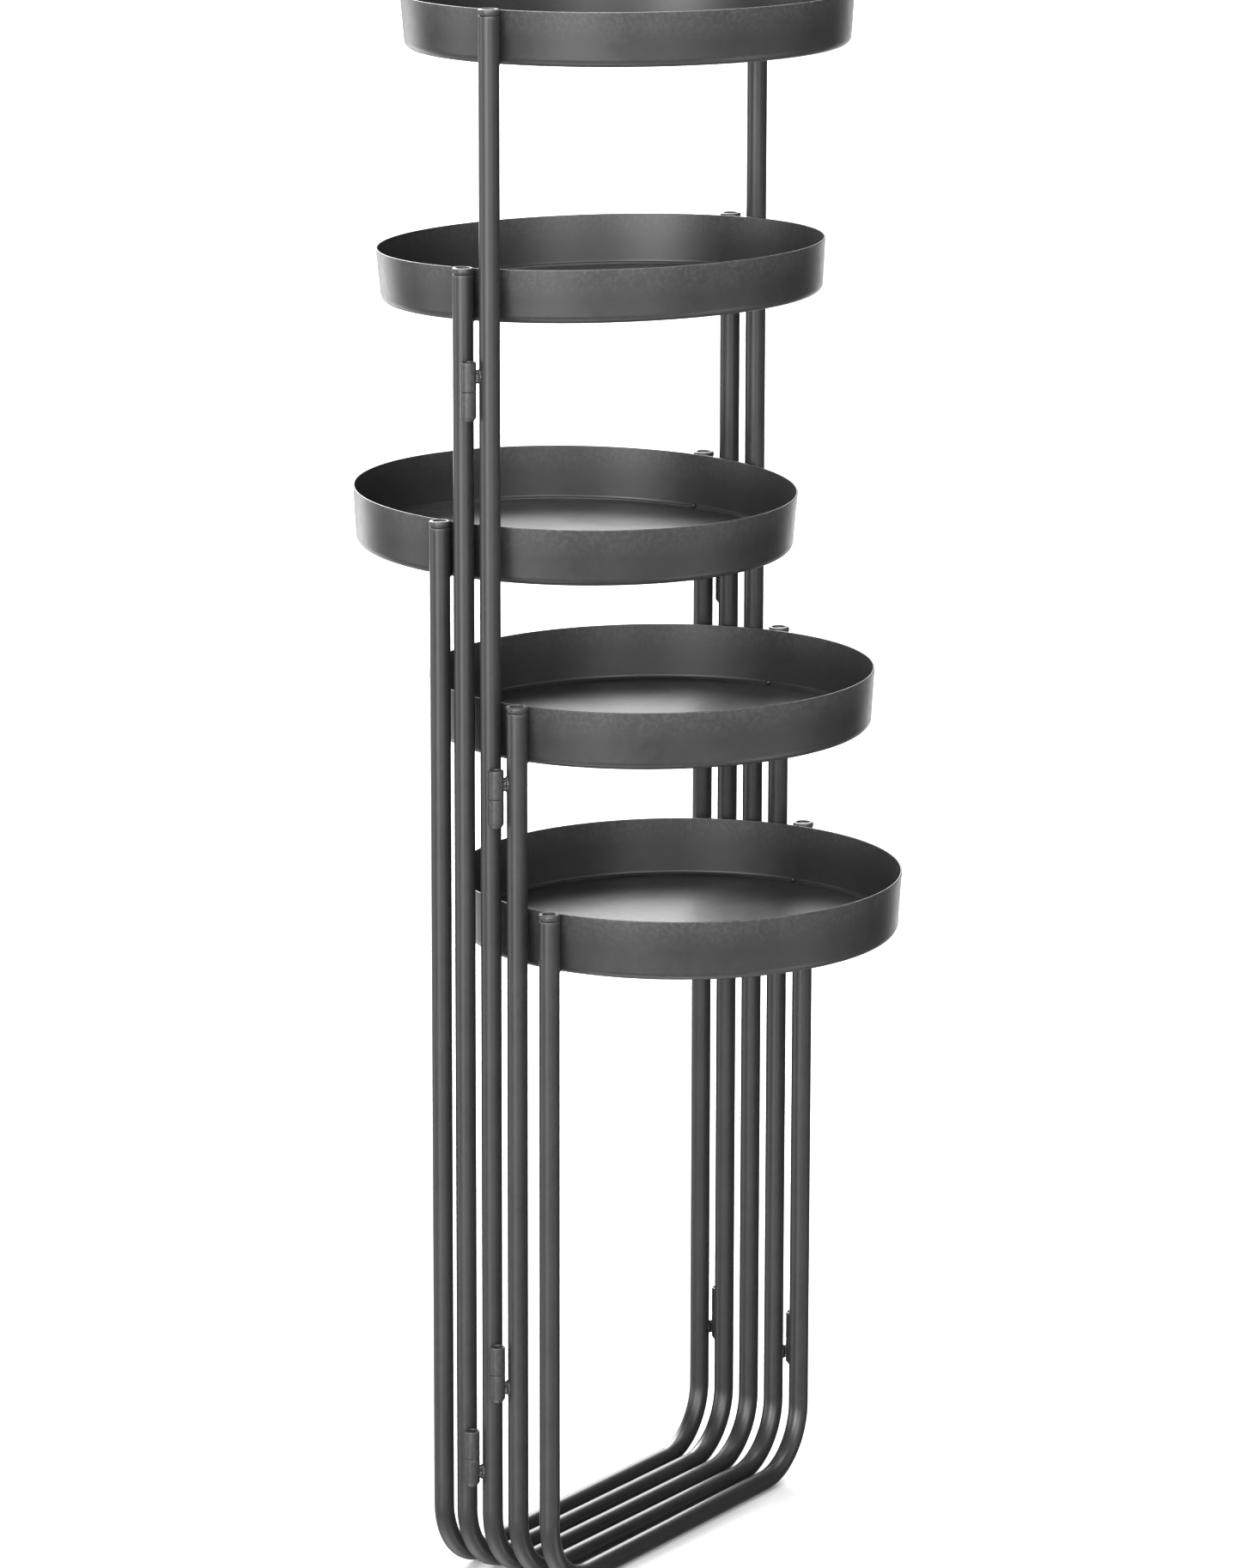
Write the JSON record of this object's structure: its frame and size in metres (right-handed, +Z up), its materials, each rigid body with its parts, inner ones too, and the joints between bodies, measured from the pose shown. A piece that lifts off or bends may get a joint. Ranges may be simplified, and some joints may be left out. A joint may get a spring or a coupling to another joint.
{
  "type": "tiered plant stand",
  "caption": "Folding tiered plant stand: U-shaped round-tube frames of stepped height, each holding a shallow round tray, joined side by side by barrel hinges.",
  "frame": {"origin": "middle of the bounding box in plan, on the floor", "axes": "+X along the frames from the left uprights to the right ones, +Y to the back across the stack, +Z up"},
  "size_m": [0.3002, 0.3368, 0.9318],
  "materials": {
    "tube_coating": "satin",
    "tray_coating": "satin",
    "hinge_coating": "satin",
    "cap_plastic": "matt",
    "pin_steel": "plain"
  },
  "bodies": {
    "frame_a": {"frame_a_tube": "tube_coating", "frame_a_tray": "tray_coating", "frame_a_cap_left": "cap_plastic", "frame_a_cap_right": "cap_plastic", "hinge_ab_upper_knuckle_top": "hinge_coating", "hinge_ab_lower_knuckle_bottom": "hinge_coating", "hinge_ab_lower_pin": "pin_steel"},
    "frame_b": {"frame_b_tube": "tube_coating", "frame_b_tray": "tray_coating", "frame_b_cap_left": "cap_plastic", "frame_b_cap_right": "cap_plastic", "hinge_ab_upper_knuckle_bottom": "hinge_coating", "hinge_ab_upper_pin": "pin_steel", "hinge_ab_lower_knuckle_top": "hinge_coating", "hinge_bc_upper_knuckle_bottom": "hinge_coating", "hinge_bc_upper_pin": "pin_steel", "hinge_bc_lower_knuckle_top": "hinge_coating"},
    "frame_c": {"frame_c_tube": "tube_coating", "frame_c_tray": "tray_coating", "frame_c_cap_left": "cap_plastic", "frame_c_cap_right": "cap_plastic", "hinge_bc_upper_knuckle_top": "hinge_coating", "hinge_bc_lower_knuckle_bottom": "hinge_coating", "hinge_bc_lower_pin": "pin_steel", "hinge_cd_upper_knuckle_bottom": "hinge_coating", "hinge_cd_upper_pin": "pin_steel", "hinge_cd_lower_knuckle_top": "hinge_coating"},
    "frame_d": {"frame_d_tube": "tube_coating", "frame_d_tray": "tray_coating", "frame_d_cap_left": "cap_plastic", "frame_d_cap_right": "cap_plastic", "hinge_cd_upper_knuckle_top": "hinge_coating", "hinge_cd_lower_knuckle_bottom": "hinge_coating", "hinge_cd_lower_pin": "pin_steel", "hinge_de_upper_knuckle_top": "hinge_coating", "hinge_de_lower_knuckle_bottom": "hinge_coating", "hinge_de_lower_pin": "pin_steel"},
    "frame_e": {"frame_e_tube": "tube_coating", "frame_e_tray": "tray_coating", "frame_e_cap_left": "cap_plastic", "frame_e_cap_right": "cap_plastic", "hinge_de_upper_knuckle_bottom": "hinge_coating", "hinge_de_upper_pin": "pin_steel", "hinge_de_lower_knuckle_top": "hinge_coating"}
  },
  "joints": [
    {"name": "hinge_bc", "type": "hinge", "parent": "frame_c", "child": "frame_b", "pos_m": [-0.1455, 0.0106, 0.3], "axis": [0, 0, 1], "range_deg": [0, 110]},
    {"name": "hinge_cd", "type": "hinge", "parent": "frame_c", "child": "frame_d", "pos_m": [-0.1455, -0.0078, 0.3], "axis": [0, 0, -1], "range_deg": [0, 110]},
    {"name": "hinge_ab", "type": "hinge", "parent": "frame_b", "child": "frame_a", "pos_m": [0.1455, 0.029, 0.3], "axis": [0, 0, -1], "range_deg": [0, 180]},
    {"name": "hinge_de", "type": "hinge", "parent": "frame_d", "child": "frame_e", "pos_m": [0.1455, -0.0262, 0.3], "axis": [0, 0, 1], "range_deg": [-0.8, 180]}
  ]
}
